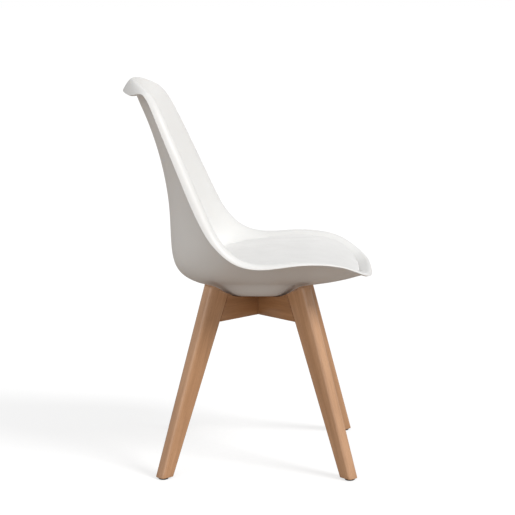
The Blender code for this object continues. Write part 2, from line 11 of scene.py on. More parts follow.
import bmesh
import bpy
import numpy as np
from mathutils import Matrix, Vector

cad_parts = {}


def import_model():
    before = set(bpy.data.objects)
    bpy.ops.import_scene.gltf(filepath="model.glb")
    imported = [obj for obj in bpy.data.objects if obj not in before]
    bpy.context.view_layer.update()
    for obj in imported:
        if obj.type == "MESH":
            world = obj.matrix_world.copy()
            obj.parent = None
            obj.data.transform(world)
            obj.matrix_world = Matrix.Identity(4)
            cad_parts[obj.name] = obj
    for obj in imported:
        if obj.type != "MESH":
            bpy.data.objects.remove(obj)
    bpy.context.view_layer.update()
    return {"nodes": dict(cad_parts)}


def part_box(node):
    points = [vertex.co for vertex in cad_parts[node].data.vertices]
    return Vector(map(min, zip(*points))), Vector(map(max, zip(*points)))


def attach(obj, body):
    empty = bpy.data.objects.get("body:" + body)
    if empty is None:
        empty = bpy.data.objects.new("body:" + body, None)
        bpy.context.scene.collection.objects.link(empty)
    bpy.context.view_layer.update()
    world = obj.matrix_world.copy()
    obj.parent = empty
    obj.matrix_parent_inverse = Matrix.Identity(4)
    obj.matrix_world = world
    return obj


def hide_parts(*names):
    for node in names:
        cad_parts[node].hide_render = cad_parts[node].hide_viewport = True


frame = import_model()

# %% [markdown]
# ## The camera
#
# The chair is seen from its right-hand side, from almost four metres away and from above the seat, through
# a long lens. From that far off, the near and far legs look nearly the same size. The camera is aimed by
# one turn about the vertical and one tilt, with no shift and no depth of field.

# %% Camera
CROSSING_Y = (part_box("rail_upper")[0].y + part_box("rail_upper")[1].y) / 2  # the rails cross here
CAMERA_DISTANCE = 3.78
CAMERA_UP = 1.103
CAMERA_TILT = radians(9.93)
CAMERA_TURN = radians(1.0)
CAMERA_SIDESTEP = 0.0014
CAMERA_SENSOR, CAMERA_LENS = 36.0, 122.9  # millimetres


def add_object(name, data):
    """A new object in the scene that shows the data."""
    thing = bpy.data.objects.new(name, data)
    bpy.context.scene.collection.objects.link(thing)
    return thing


camera_data = bpy.data.cameras.new("camera")
camera_data.sensor_width = CAMERA_SENSOR
camera_data.lens = CAMERA_LENS
camera = add_object("camera", camera_data)
forward = -CAMERA_SIDESTEP * cos(CAMERA_TURN) + CAMERA_DISTANCE * sin(CAMERA_TURN)
across = -CAMERA_DISTANCE * cos(CAMERA_TURN) - CAMERA_SIDESTEP * sin(CAMERA_TURN)
camera.location = (across, CROSSING_Y - forward, CAMERA_UP)
aim = Vector((cos(CAMERA_TURN) * cos(CAMERA_TILT), sin(CAMERA_TURN) * cos(CAMERA_TILT),
              -sin(CAMERA_TILT)))
camera.rotation_euler = aim.to_track_quat("-Z", "Y").to_euler()
bpy.context.scene.camera = camera
print("camera at", [round(x, 3) for x in camera.location])

# %% [markdown]
# ## Floor and light
#
# A plain pale floor, an even pale sky, one broad lamp and a weak one to fill in. The main lamp stands in
# front of the chair, a little to the camera's side and about as high as it is far. So the inside of the
# back and the cushion are bright and the rounded corner of the near front leg shines, while the outside of
# the shell lies in soft shade. The floor also glows by itself, so that only faint shadows show on it. The
# light that it throws up at the chair is warmer and weaker.

# %% Floor and light
FLOOR_REACH = 30.0  # metres from its middle to its edge
FLOOR_WHITE = 0.38  # how strongly lamp and shadow show on the floor
FLOOR_GLOW = 0.67  # the floor's own light
FLOOR_BOUNCE = (0.370, 0.325, 0.288)  # as the chair sees the floor
SKY_LIGHT = 0.70
KEY_LIGHT = 1.85
KEY_PLACE = (-5.7, -9.2, 10.0)
KEY_SPREAD = 20.0  # degrees
FILL_LIGHT = 0.50
FILL_PLACE = (-5.0, 2.0, 3.0)
FILL_SPREAD = 50.0
print("the key lamp is", round(KEY_LIGHT / FILL_LIGHT, 1), "times as strong as the fill")

# %% Floor
def new_material(name):
    """A node material with an empty tree."""
    material = bpy.data.materials.new(name)
    material.use_nodes = True
    material.node_tree.nodes.clear()
    return material


def add_node(material, kind, links=None, **values):
    """Adds a node. values set its sockets or properties; links joins its inputs, by name or number."""
    node = material.node_tree.nodes.new(kind)
    for name, value in values.items():
        socket = next((s for s in node.inputs if s.name.replace(" ", "_") == name), None)
        if socket is None:
            setattr(node, name, value)
        else:
            socket.default_value = value
    for name, source in (links or {}).items():
        material.node_tree.links.new(source, node.inputs[name])
    return node


def make_floor():
    mesh = bpy.data.meshes.new("floor")
    corners = [(x * FLOOR_REACH, y * FLOOR_REACH, 0.0) for x, y in ((-1, -1), (1, -1), (1, 1), (-1, 1))]
    mesh.from_pydata(corners, [], [(0, 1, 2, 3)])
    floor = add_object("floor", mesh)
    material = new_material("studio_floor")
    seen = add_node(material, "ShaderNodeBsdfDiffuse", Color=(FLOOR_WHITE, FLOOR_WHITE, FLOOR_WHITE, 1.0))
    glow = add_node(material, "ShaderNodeEmission", Strength=FLOOR_GLOW)
    lit = add_node(material, "ShaderNodeAddShader", {0: seen.outputs[0], 1: glow.outputs[0]})
    bounced = add_node(material, "ShaderNodeBsdfDiffuse", Color=(*FLOOR_BOUNCE, 1.0))
    path = add_node(material, "ShaderNodeLightPath")
    mix = add_node(material, "ShaderNodeMixShader",
                   {0: path.outputs["Is Camera Ray"], 1: bounced.outputs[0], 2: lit.outputs[0]})
    add_node(material, "ShaderNodeOutputMaterial", {"Surface": mix.outputs[0]})
    mesh.materials.append(material)
    print("floor:", round(2 * FLOOR_REACH), "m wide")


make_floor()

# %% Sky
def make_sky():
    sky = bpy.data.worlds.new("studio_sky")
    sky.use_nodes = True
    sky.node_tree.nodes.clear()
    light = add_node(sky, "ShaderNodeBackground", Strength=SKY_LIGHT)
    seen = add_node(sky, "ShaderNodeBackground", Color=(1.0, 1.0, 1.0, 1.0))
    path = add_node(sky, "ShaderNodeLightPath")
    mix = add_node(sky, "ShaderNodeMixShader",
                   {0: path.outputs["Is Camera Ray"], 1: light.outputs[0], 2: seen.outputs[0]})
    add_node(sky, "ShaderNodeOutputWorld", {"Surface": mix.outputs[0]})
    bpy.context.scene.world = sky
    print("sky:", sky.name)


make_sky()

# %% Lamps
def make_lamp(name, place, strength, spread):
    """A far lamp that shines from `place` to the middle of the floor. Its spread makes the shadows soft."""
    data = bpy.data.lights.new(name, "SUN")
    data.energy = strength
    data.angle = radians(spread)
    lamp = add_object(name, data)
    lamp.location = place
    lamp.rotation_euler = (-Vector(place)).to_track_quat("-Z", "Y").to_euler()


make_lamp("key", KEY_PLACE, KEY_LIGHT, KEY_SPREAD)
make_lamp("fill", FILL_PLACE, FILL_LIGHT, FILL_SPREAD)
bpy.context.scene.view_settings.view_transform = "Standard"

# %% [markdown]
# ## The rule of the shell
#
# The shell is one sheet of plastic. Stations stand along its middle from the front lip to the top of the
# back. Each gives a point on the middle line (the spine), the point that the sides rise to there (the
# crest), how wide it is, how flat the bottom of the bowl is, and how far the edge is rolled over. Smooth
# curves through the stations give every point between them. The same rule made the solid model, only with
# larger cells.

# %% Stations and curves
SHELL_WIDTH, SHELL_WALL = 0.488, 0.0045
ROLL_ANGLE = radians(80)  # how far the edge turns over
ROLL_WIDTH, ROLL_ENDS = 0.018, 0.023  # its width at the sides and at the two ends
CORNER_POWER = 3.0  # 2 would make the shell's corners round, more makes them squarer
TOP_CURL = (-0.018, -0.039)  # how far the rim is carried over at the top, forward and up
FRONT_CURL = (0.000, -0.009)
CURL_BLEND = 0.84  # the place along where a side's roll starts to become the end's curl

Station = namedtuple("Station", "spine crest width fullness roll")
STATIONS = [Station(*row) for row in (
    ((0.2465, 0.4310), (0.252, 0.4400), 0.965, 1.40, (0.000, -0.008)),
    ((0.215, 0.4155), (0.217, 0.4515), 0.985, 1.40, (0.000, -0.007)),
    ((0.165, 0.4000), (0.168, 0.4660), 1.000, 1.40, (0.000, -0.006)),
    ((0.080, 0.3885), (0.090, 0.4700), 1.000, 1.40, (0.000, -0.006)),
    ((-0.010, 0.3865), (0.020, 0.4650), 1.000, 1.40, (-0.002, -0.008)),
    ((-0.095, 0.3885), (-0.035, 0.4765), 0.995, 1.40, (-0.006, -0.010)),
    ((-0.152, 0.4050), (-0.070, 0.5070), 0.965, 1.35, (-0.012, -0.010)),
    ((-0.1785, 0.4380), (-0.0905, 0.5390), 0.935, 1.25, (-0.016, -0.010)),
    ((-0.1855, 0.4950), (-0.112, 0.5850), 0.895, 1.15, (-0.019, -0.009)),
    ((-0.1900, 0.5700), (-0.137, 0.6420), 0.850, 1.10, (-0.019, -0.009)),
    ((-0.2070, 0.6600), (-0.167, 0.7100), 0.810, 1.05, (-0.018, -0.009)),
    ((-0.2330, 0.7400), (-0.196, 0.7750), 0.770, 1.00, (-0.017, -0.009)),
    ((-0.2560, 0.7950), (-0.219, 0.8165), 0.740, 1.00, (-0.015, -0.009)),
    ((-0.2720, 0.8465), (-0.250, 0.8475), 0.715, 1.00, (-0.014, -0.009)),
)]


def spline_through(values):
    """Second derivatives of the natural cubic spline through values at 0, 1, 2, ..."""
    count = len(values)
    system = np.eye(count)
    right = np.zeros_like(values)
    for i in range(1, count - 1):
        system[i, i - 1:i + 2] = (1.0, 4.0, 1.0)
        right[i] = 6.0 * (values[i - 1] - 2.0 * values[i] + values[i + 1])
    return np.linalg.solve(system, right)


CREST_WIDTH = SHELL_WIDTH / 2 - ROLL_WIDTH
ROWS = np.array([(*s.spine, *s.crest, s.width * CREST_WIDTH, s.fullness, *s.roll) for s in STATIONS])
CURVES = spline_through(ROWS)
SPINE_LENGTH = float(np.linalg.norm(ROWS[1:, 0:2] - ROWS[:-1, 0:2], axis=1).sum())
CREST_END = 1.0 - 2 * ROLL_ENDS / SPINE_LENGTH
print("spine of the shell:", round(SPINE_LENGTH * 1000), "mm")

# %% [markdown]
# ## From a square to the shell
#
# A flat grid is easy to make and to count. So the shell is treated as a square sheet whose points are
# carried over: its corners are rounded first, then its inner part is laid into the bowl and its margin is
# turned over as the rolled edge. Everything here measures a point as (side, forward, up) from where the
# rails cross.

# %% The bowl
def station_at(along):
    """The stations' values at a place along the shell, from -1 at the front lip to 1 at the top."""
    place = (along + 1.0) / 2.0 * (len(ROWS) - 1)
    i = int(min(max(place, 0.0), len(ROWS) - 1.001))
    t = place - i
    s = 1.0 - t
    return s * ROWS[i] + t * ROWS[i + 1] + ((s**3 - s) * CURVES[i] + (t**3 - t) * CURVES[i + 1]) / 6.0


def bowl_point(across, along):
    """The inner face without its rolled edge, as (side, forward, up)."""
    row = station_at(along)
    share = min(abs(across), 1.0)
    climb = (1.0 - cos(pi * share**row[5])) / 2.0
    return (across * row[4], row[0] + (row[2] - row[0]) * climb, row[1] + (row[3] - row[1]) * climb)


print("deepest point of the bowl:", round(bowl_point(0.0, -0.38)[2] * 1000), "mm up")

# %% The whole shell
def rounded_square(a, b, power):
    """Carries a square of -1..1 onto a square with round corners, ring by ring."""
    ring = max(abs(a), abs(b))
    if ring == 0.0:
        return 0.0, 0.0
    a, b = a / ring, b / ring
    a, b = a * sqrt(1.0 - b * b / 2.0), b * sqrt(1.0 - a * a / 2.0)
    size = (abs(a)**power + abs(b)**power)**(-1.0 / power)
    return a * size * ring, b * size * ring


def rim_shift(endness, row):
    """From crest to rim, forward and up: the side's own roll, or the curls at the two ends."""
    share = min(max((abs(endness) - CURL_BLEND) / (1.0 - CURL_BLEND), 0.0), 1.0)
    share = share * share * (3.0 - 2.0 * share)
    curl = TOP_CURL if endness > 0.0 else FRONT_CURL
    return tuple((1.0 - share) * own + share * end for own, end in zip(row[6:8], curl))


def shell_point(a, b, flat):
    """The shell's inner face over a square of -1..1. flat is the part of it inside the rolled edge."""
    ring = max(abs(a), abs(b))
    direction = rounded_square(a / ring, b / ring, CORNER_POWER) if ring else (0.0, 0.0)
    inner = min(ring / flat, 1.0)
    turn = max(ring - flat, 0.0) / (1.0 - flat) * ROLL_ANGLE
    out = sin(turn) / sin(ROLL_ANGLE)
    over = (1.0 - cos(turn)) / (1.0 - cos(ROLL_ANGLE))
    along = direction[1] * (inner * CREST_END + out * (1.0 - CREST_END))
    row = station_at(along)
    side, forward, up = bowl_point(direction[0] * (inner + out * ROLL_WIDTH / row[4]), along)
    back, down = rim_shift(direction[1], row)
    return side, forward + over * back, up + over * down


def world(side, forward, up):
    """Such a point in the scene, where forward is towards -Y."""
    return Vector((side, CROSSING_Y - forward, up))


print("the square's corner goes to", [round(x, 2) for x in rounded_square(1.0, 1.0, CORNER_POWER)])

# %% [markdown]
# ## Making the shell
#
# A real shell of this kind comes out of a mould in one piece, with an even wall and a rounded rim. A fine
# grid is bent by the rule, Solidify gives it its wall, and Bevel rounds the rim. The square block under the
# belly, which the legs are bolted to, is moulded with it: the wall's outer points inside a rounded square
# are moved down to the block's flat, and blend into the belly around it with soft fillets, as a mould would
# need.

# %% Sizes and helpers for meshes
SHELL_CELLS = (144, 208)  # across and along
SHELL_FLAT = 1.0 - 4 / 14  # the share of the grid inside the rolled edge
RIM_ROUND = 0.42  # the share of the wall that the rim is rounded by, on either side
RAIL_TOP = 0.3652  # the block rests on the rails
BOSS_HALF, BOSS_FLARE = 0.053, 0.048  # half the block's width, and the fillet around it
BELLY_HEIGHT, BELLY_SLOPE = 0.41, -0.3  # the belly's points are below this and face down this far
GAP = 0.0003  # between pieces that touch


def smooth_step(x):
    x = min(max(x, 0.0), 1.0)
    return x * x * (3.0 - 2.0 * x)


def finished(thing, name=None):
    """The object with its modifiers applied, as a new plain mesh at the origin."""
    graph = bpy.context.evaluated_depsgraph_get()
    mesh = bpy.data.meshes.new_from_object(thing.evaluated_get(graph))
    name = name or thing.name
    bpy.data.objects.remove(thing)
    return add_object(name, mesh)


def new_object(name, bm):
    mesh = bpy.data.meshes.new(name)
    bm.to_mesh(mesh)
    bm.free()
    return add_object(name, mesh)


def ease_edges(thing, width, segments, degrees):
    """Rounds every edge that turns by more than this many degrees."""
    ease = thing.modifiers.new("ease", "BEVEL")
    ease.width = width
    ease.segments = segments
    ease.limit_method = "ANGLE"
    ease.angle_limit = radians(degrees)


print("cells of the shell:", SHELL_CELLS[0] * SHELL_CELLS[1])

# %% Shell
def press_boss(mesh):
    """Moves the belly's outer points down to the flat of the block that the rails carry."""
    normals = [v.normal.copy() for v in mesh.vertices]
    for vert, normal in zip(mesh.vertices, normals):
        side, fore = vert.co.x, CROSSING_Y - vert.co.y
        if vert.co.z > BELLY_HEIGHT or normal.z > BELLY_SLOPE:
            continue
        spread = (abs(side)**4 + abs(fore)**4)**0.25
        share = 1.0 - smooth_step((spread - BOSS_HALF) / BOSS_FLARE)
        vert.co.z = vert.co.z * (1.0 - share) + (RAIL_TOP + GAP) * share


def make_shell():
    columns, rows = SHELL_CELLS
    bm = bmesh.new()
    bmesh.ops.create_grid(bm, x_segments=columns, y_segments=rows, size=1.0)
    for vert in bm.verts:
        vert.co = world(*shell_point(vert.co.x, vert.co.y, SHELL_FLAT))
    bmesh.ops.recalc_face_normals(bm, faces=bm.faces)
    bm.faces.ensure_lookup_table()
    if bm.faces[len(bm.faces) // 2].normal.z < 0.0:
        bmesh.ops.reverse_faces(bm, faces=bm.faces)
    sheet = new_object("shell_sheet", bm)
    wall = sheet.modifiers.new("wall", "SOLIDIFY")
    wall.thickness = SHELL_WALL
    wall.offset = -1.0
    wall.use_even_offset = True
    ease_edges(sheet, SHELL_WALL * RIM_ROUND, 4, 55)
    shell = finished(sheet, "shell")
    press_boss(shell.data)
    shell.data.shade_smooth()
    return shell


shell = make_shell()
print("shell:", len(shell.data.polygons), "faces,", [round(d * 1000) for d in shell.dimensions], "mm")

# %% [markdown]
# ## The shell's plastic
#
# Moulded polypropylene has a fine spark-eroded grain, slightly glossy, and takes light a little below its
# surface. The colour is an off-white that wanders by two or three parts in a hundred. Two sizes of noise
# give the fine grain and the slow waviness that a large thin moulding always has.

# %% Helpers for finishes
def object_coordinates(material):
    return add_node(material, "ShaderNodeTexCoord").outputs["Object"]


def noise(material, vector, scale, detail=3.0, roughness=0.5):
    node = add_node(material, "ShaderNodeTexNoise", {"Vector": vector}, Scale=scale, Detail=detail,
                    Roughness=roughness)
    return node.outputs["Fac"]


def ramp(material, value, stops):
    """A colour ramp from (position, colour) stops; a colour may be one grey value."""
    node = add_node(material, "ShaderNodeValToRGB", {"Fac": value})
    elements = node.color_ramp.elements
    while len(elements) < len(stops):
        elements.new(0.5)
    for element, (position, colour) in zip(elements, stops):
        element.position = position
        element.color = (colour, colour, colour, 1.0) if isinstance(colour, float) else (*colour, 1.0)
    return node.outputs["Color"]


def varied(material, vector, scale, low, high):
    """A colour or grey value that wanders between two, over patches of a size set by the scale."""
    return ramp(material, noise(material, vector, scale), ((0.3, low), (0.7, high)))


def bump(material, height, distance, strength, normal=None):
    """Relief of that depth in metres. It can be laid over another bump's normal."""
    links = {"Height": height}
    if normal is not None:
        links["Normal"] = normal
    return add_node(material, "ShaderNodeBump", links, Strength=strength, Distance=distance).outputs["Normal"]


def shader(material, links, **values):
    """A Principled shader on the material's output. What is the same all over is set on its own sockets."""
    node = add_node(material, "ShaderNodeBsdfPrincipled", links, **values)
    add_node(material, "ShaderNodeOutputMaterial", {"Surface": node.outputs[0]})

# %% Plastic
SHELL_WHITE = ((0.785, 0.780, 0.764), (0.805, 0.801, 0.787))


def shell_plastic():
    material = new_material("satin_white_plastic")
    place = object_coordinates(material)
    colour = varied(material, place, 9.0, *SHELL_WHITE)
    gloss = varied(material, place, 60.0, 0.36, 0.44)
    grain = bump(material, noise(material, place, 1400.0, 2.0), 0.00006, 0.5)
    waves = bump(material, noise(material, place, 14.0, 1.0), 0.0006, 0.25, grain)
    shader(material, {"Base Color": colour, "Roughness": gloss, "Normal": waves},
           IOR=1.49, Subsurface_Weight=0.08, Subsurface_Scale=0.004, Subsurface_Radius=(1.0, 0.9, 0.8))
    return material


PLASTIC = shell_plastic()
shell.data.materials.append(PLASTIC)
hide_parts("seat_shell")
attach(shell, "root")
print("shell finish:", PLASTIC.name)

# %% [markdown]
# ## The cushion: its cut
#
# The pad is foam in a smooth white cover, cut to the bowl of the seat. Its outline is squarer in front and
# round behind, where it runs a little way up the back. Its underside follows the bowl, two millimetres
# clear of it, and lies on a board in the middle. A closed form is laid out by that rule first, a little
# thinner than the finished pad, since it will be blown up in the next step.

# %% Outline of the cushion
CUSHION_ROWS = 56  # cells along each side of its square
CUSHION_REACH = 0.830  # the share of the bowl's half width that it takes up
CUSHION_FRONT = 0.222  # its front edge, forward of the crossing
CUSHION_FRONT_POWER, CUSHION_REAR_POWER = 2.8, 2.0  # squarer in front, round behind
CUSHION_REAR_RISE = 0.024  # how far it runs up the back
CUSHION_ABOVE_RAIL = 0.0885
CUSHION_FALL = 0.020  # how much lower its top is behind than in front
CUSHION_CLEARANCE = 0.0022
CUSHION_EDGE = 0.0045  # its thickness at the edge
CUSHION_SLACK = 0.0030  # taken off the crown before the cover is blown up
BOARD_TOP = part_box("cushion_board")[1].z


def along_where(column, value, low, high):
    """The place along the shell, between low and high, where a station value is reached."""
    for _ in range(40):
        middle = (low + high) / 2
        if (station_at(middle)[column] > value) == (station_at(low)[column] > value):
            low = middle
        else:
            high = middle
    return (low + high) / 2


SEAT_MIDDLE = -0.3  # a place along the shell, as for station_at
CUSHION_ENDS = (along_where(0, CUSHION_FRONT, -1.0, SEAT_MIDDLE),
                along_where(1, bowl_point(0.0, SEAT_MIDDLE)[2] + CUSHION_REAR_RISE, SEAT_MIDDLE, 1.0))


def cushion_domain(a, b):
    """Where a point of the cushion's square lies in the bowl."""
    front, rear = CUSHION_ENDS
    across, along = rounded_square(a, b, CUSHION_REAR_POWER if b > 0.0 else CUSHION_FRONT_POWER)
    return across * CUSHION_REACH, (front + rear) / 2 + along * (rear - front) / 2


print("the cushion lies between", [round(x, 3) for x in CUSHION_ENDS], "along the shell")

# %% Cushion form
def above_bowl(across, along, height):
    """A point at a height above the bowl's face, measured square to it."""
    step = 0.01
    right, left = (Vector(bowl_point(across + d, along)) for d in (step, -step))
    far, near = (Vector(bowl_point(across, along + d)) for d in (step, -step))
    normal = (near - far).cross(right - left).normalized()
    return Vector(bowl_point(across, along)) + normal * (height if normal.z > 0.0 else -height)


def cushion_top(a, b):
    """The upper face: low at the edge, and swelling to its full height within a few centimetres of it."""
    ring = max(abs(a), abs(b))
    side, fore, low = above_bowl(*cushion_domain(a, b), CUSHION_CLEARANCE)
    rim = bowl_point(*cushion_domain(a / ring, b / ring))[2] if ring else 0.0
    rearward = (b + 1.0) / 2.0
    crown = RAIL_TOP + CUSHION_ABOVE_RAIL - CUSHION_SLACK - CUSHION_FALL * rearward**2
    share = ring**3
    height = (rim + CUSHION_EDGE) * share + crown * (1.0 - share)
    return side, fore, max(height, low + CUSHION_EDGE)


def cushion_under(a, b):
    side, fore, up = above_bowl(*cushion_domain(a, b), CUSHION_CLEARANCE)
    return side, fore, max(up, BOARD_TOP + GAP)


def closed_pad(name, cells, upper, lower):
    """A closed form between two faces that are laid out over one square and joined at its edge."""
    bm = bmesh.new()
    layers = []
    for surface in (upper, lower):
        layer = [[bm.verts.new(world(*surface(2.0 * i / cells - 1.0, 2.0 * j / cells - 1.0)))
                  for j in range(cells + 1)] for i in range(cells + 1)]
        for i in range(cells):
            for j in range(cells):
                bm.faces.new((layer[i][j], layer[i + 1][j], layer[i + 1][j + 1], layer[i][j + 1]))
        layers.append(layer)
    border = [(i, 0) for i in range(cells)] + [(cells, j) for j in range(cells)]
    border += [(i, cells) for i in range(cells, 0, -1)] + [(0, j) for j in range(cells, 0, -1)]
    for (i, j), (next_i, next_j) in zip(border, border[1:] + border[:1]):
        bm.faces.new((layers[0][i][j], layers[0][next_i][next_j], layers[1][next_i][next_j], layers[1][i][j]))
    bmesh.ops.recalc_face_normals(bm, faces=bm.faces)
    return new_object(name, bm)


cushion = closed_pad("cushion", CUSHION_ROWS, cushion_top, cushion_under)
print("cushion form:", [round(d * 1000) for d in cushion.dimensions], "mm")

# %% [markdown]
# ## The cushion: blowing up its cover
#
# A foam pad in a tight cover looks soft because the cover is stretched over it. The form is remeshed into
# even cells, its underside and hem are pinned, and Cloth with a little pressure blows up the rest for
# twenty frames. Each point may move only a few millimetres, so that the pad stays inside the bowl. The
# result is made a plain mesh, smoothed and divided once more.

# %% Cushion simulation
CUSHION_CELL = 0.0045
CUSHION_SWELL = 0.006  # the most that a point of the cover may move
CUSHION_FRAMES = 20
CUSHION_PRESSURE = 4.0
CUSHION_HEM = 0.006  # pinned this far above the bowl, and fading out over as much again
SEAT_END = 0.05  # the place along the shell where the back begins


def free_height(vert):
    """How far a point of the cover is above the bowl, straight down."""
    side, fore = vert.co.x, CROSSING_Y - vert.co.y
    along = along_where(0, fore, -1.0, SEAT_END)
    return vert.co.z - bowl_point(side / station_at(along)[4], along)[2]


def blow_up(pad):
    """The pad with its cover blown up by Cloth, each point held within reach of where it was."""
    remesh = pad.modifiers.new("cells", "REMESH")
    remesh.mode = "VOXEL"
    remesh.voxel_size = CUSHION_CELL
    pad = finished(pad, "cushion")
    start = np.array([v.co for v in pad.data.vertices])
    pinned = pad.vertex_groups.new(name="pinned")
    for vert in pad.data.vertices:
        hold = 1.0 - smooth_step((free_height(vert) - CUSHION_HEM) / CUSHION_HEM)
        hold = max(hold, 1.0 if vert.normal.z < 0.1 else 0.0)
        pinned.add([vert.index], hold, "REPLACE")
    cloth = pad.modifiers.new("cover", "CLOTH")
    cloth.settings.vertex_group_mass = "pinned"
    cloth.settings.use_pressure = True
    cloth.settings.uniform_pressure_force = CUSHION_PRESSURE
    cloth.settings.effector_weights.gravity = 0.0
    cloth.settings.quality = 6
    cloth.collision_settings.use_collision = False
    scene = bpy.context.scene
    for number in range(1, CUSHION_FRAMES + 1):
        scene.frame_set(number)
    graph = bpy.context.evaluated_depsgraph_get()
    blown = np.array([v.co for v in pad.evaluated_get(graph).data.vertices])
    pad.modifiers.remove(cloth)
    scene.frame_set(1)
    move = blown - start
    length = np.linalg.norm(move, axis=1, keepdims=True)
    move *= np.minimum(1.0, CUSHION_SWELL / np.maximum(length, 1e-9))
    pad.data.vertices.foreach_set("co", (start + move).ravel())
    kept = np.linalg.norm(move, axis=1)
    print("cover moved and kept, at most, in mm:", *(round(float(x.max()) * 1000, 1) for x in (length, kept)))
    return pad

# %% Cushion
def smoothed(pad):
    fair = pad.modifiers.new("fair", "SMOOTH")
    fair.factor = 0.5
    fair.iterations = 6
    finer = pad.modifiers.new("finer", "SUBSURF")
    finer.levels = 1
    finer.render_levels = 1
    return finished(pad, "cushion")


cushion = smoothed(blow_up(cushion))
cushion.data.shade_smooth()
print("cushion:", len(cushion.data.polygons), "faces")

# %% [markdown]
# ## The cushion's cover
#
# The cover is a coated fabric that imitates fine leather: white, dull-glossy, with shallow pebbles about a
# millimetre across. A cell texture gives the pebbles and their creases, and a slow noise keeps the colour
# and the gloss from being even.

# %% Cover
COVER_WHITE = ((0.765, 0.76, 0.748), (0.80, 0.795, 0.784))


def cell_edges(material, vector, scale):
    """The distance to the nearest border between two cells."""
    node = add_node(material, "ShaderNodeTexVoronoi", {"Vector": vector}, feature="DISTANCE_TO_EDGE",
                    Scale=scale)
    return node.outputs["Distance"]


def white_cover():
    material = new_material("white_cover")
    place = object_coordinates(material)
    colour = varied(material, place, 22.0, *COVER_WHITE)
    gloss = varied(material, place, 120.0, 0.46, 0.56)
    creases = ramp(material, cell_edges(material, place, 950.0), ((0.0, 0.0), (0.16, 1.0)))
    pebbles = bump(material, creases, 0.00012, 0.35)
    pull = bump(material, noise(material, place, 38.0, 2.0), 0.0010, 0.22, pebbles)
    shader(material, {"Base Color": colour, "Roughness": gloss, "Normal": pull},
           IOR=1.47, Sheen_Weight=0.12, Sheen_Roughness=0.5)
    return material


COVER = white_cover()
cushion.data.materials.append(COVER)
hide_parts("seat_cushion")
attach(cushion, "root")
print("cover finish:", COVER.name)

# %% [markdown]
# ## Beech
#
# Beech is a pinkish brown wood with a fine straight grain. Its mark is a scatter of short dark flecks that
# run along the fibres. The pattern must follow each leg, so every piece of wood carries its own attribute,
# "grain", which holds each point's place along, across and through the timber. The texture reads that,
# stretched along the fibres: wide bands for the growth rings, thin streaks for the fibres and short dashes
# for the flecks. The rails stand in the shade of the shell, and that shade is painted into them: they get a
# second copy of the same beech, darker and browner than the legs'.

# %% Wood finish
LEG_TONES = ((0.65, 0.370, 0.200), (0.475, 0.248, 0.120))  # light and dark
# Painted shade: the legs' beech made darker and browner for the shade under the shell.
RAIL_SHADED_TONES = ((0.48, 0.240, 0.105), (0.345, 0.158, 0.058))
FLECK_BROWN = (0.25, 0.115, 0.055, 1.0)


def stretched(material, vector, scale):
    return add_node(material, "ShaderNodeMapping", {"Vector": vector}, Scale=scale).outputs["Vector"]


def blend_colours(material, first, second, factor, kind="MIX"):
    node = add_node(material, "ShaderNodeMix", data_type="RGBA", blend_type=kind)
    for socket, value in ((node.inputs[6], first), (node.inputs[7], second), (node.inputs[0], factor)):
        if isinstance(value, bpy.types.NodeSocket):
            material.node_tree.links.new(value, socket)
        else:
            socket.default_value = value
    return node.outputs[2]


def times(material, value, factor):
    node = add_node(material, "ShaderNodeMath", {0: value}, operation="MULTIPLY")
    node.inputs[1].default_value = factor
    return node.outputs[0]


def beech(name, vector_of, light, dark):
    """Beech whose fibres run along the first part of the vector that vector_of gives."""
    material = new_material(name)
    grain = vector_of(material)
    bands = noise(material, stretched(material, grain, (5.0, 70.0, 34.0)), 1.0, 4.0, 0.62)
    fibres = noise(material, stretched(material, grain, (26.0, 900.0, 900.0)), 1.0, 3.0, 0.6)
    flecks = noise(material, stretched(material, grain, (150.0, 1500.0, 1500.0)), 1.0, 1.0, 0.4)
    between = tuple((a + b) / 2 for a, b in zip(light, dark))
    base = ramp(material, bands, ((0.30, dark), (0.52, between), (0.70, light)))
    streaks = ramp(material, fibres, ((0.35, (0.80, 0.76, 0.72)), (0.62, (1.0, 1.0, 1.0))))
    toned = blend_colours(material, base, streaks, 0.55, "MULTIPLY")
    spots = ramp(material, flecks, ((0.66, 0.0), (0.74, 1.0)))
    colour = blend_colours(material, toned, FLECK_BROWN, times(material, spots, 0.40))
    gloss = ramp(material, fibres, ((0.3, 0.50), (0.7, 0.38)))
    pores = bump(material, fibres, 0.00008, 0.35)
    shader(material, {"Base Color": colour, "Roughness": gloss, "Normal": pores},
           IOR=1.5, Coat_Weight=1.0, Coat_Roughness=0.23)
    return material


def grain_attribute(material):
    return add_node(material, "ShaderNodeAttribute", attribute_name="grain").outputs["Vector"]


BEECH = beech("lacquered_beech", grain_attribute, *LEG_TONES)
# The rails' beech is the shaded copy, with the shade of the shell painted in.
RAIL_BEECH_PAINTED_SHADE = beech("rail_beech", grain_attribute, *RAIL_SHADED_TONES)
BEECH_PLAIN = beech("raw_beech", object_coordinates, *LEG_TONES)
print("wood finishes:", BEECH.name, RAIL_BEECH_PAINTED_SHADE.name, BEECH_PLAIN.name)

# %% [markdown]
# ## The legs
#
# Each leg is cut from a board of one thickness and tapers to the foot. Its faces are flat, and its two
# outer corners are well rounded. Its top is cut square to the outer edge. The section is lofted from foot
# to top through many levels, its corners are rounded in the section itself, and Bevel eases the two ends. A
# leg is made reaching out along +X, and then turned to its corner about the line where the rails cross.

# %% Shape of a leg
WOOD_THICKNESS = 0.027
FOOT_REACH, FOOT_WIDTH = 0.2938, 0.0303  # the outer edge's reach, and the width inward from it
LEG_TOP_REACH, LEG_TOP_WIDTH = 0.1508, 0.0588
LEG_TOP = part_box("leg_front_left")[1].z
LEG_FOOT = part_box("leg_front_left")[0].z
LEG_ARRIS, LEG_ROUND = 0.0025, 0.0080  # radii of the inner and outer corners
LEG_EASE = 0.0012
LEG_LEVELS = 40
CORNERS = {"front_left": -45, "front_right": -135, "rear_left": 45, "rear_right": 135}


def leg_outer(up):
    return FOOT_REACH + (LEG_TOP_REACH - FOOT_REACH) * up / LEG_TOP


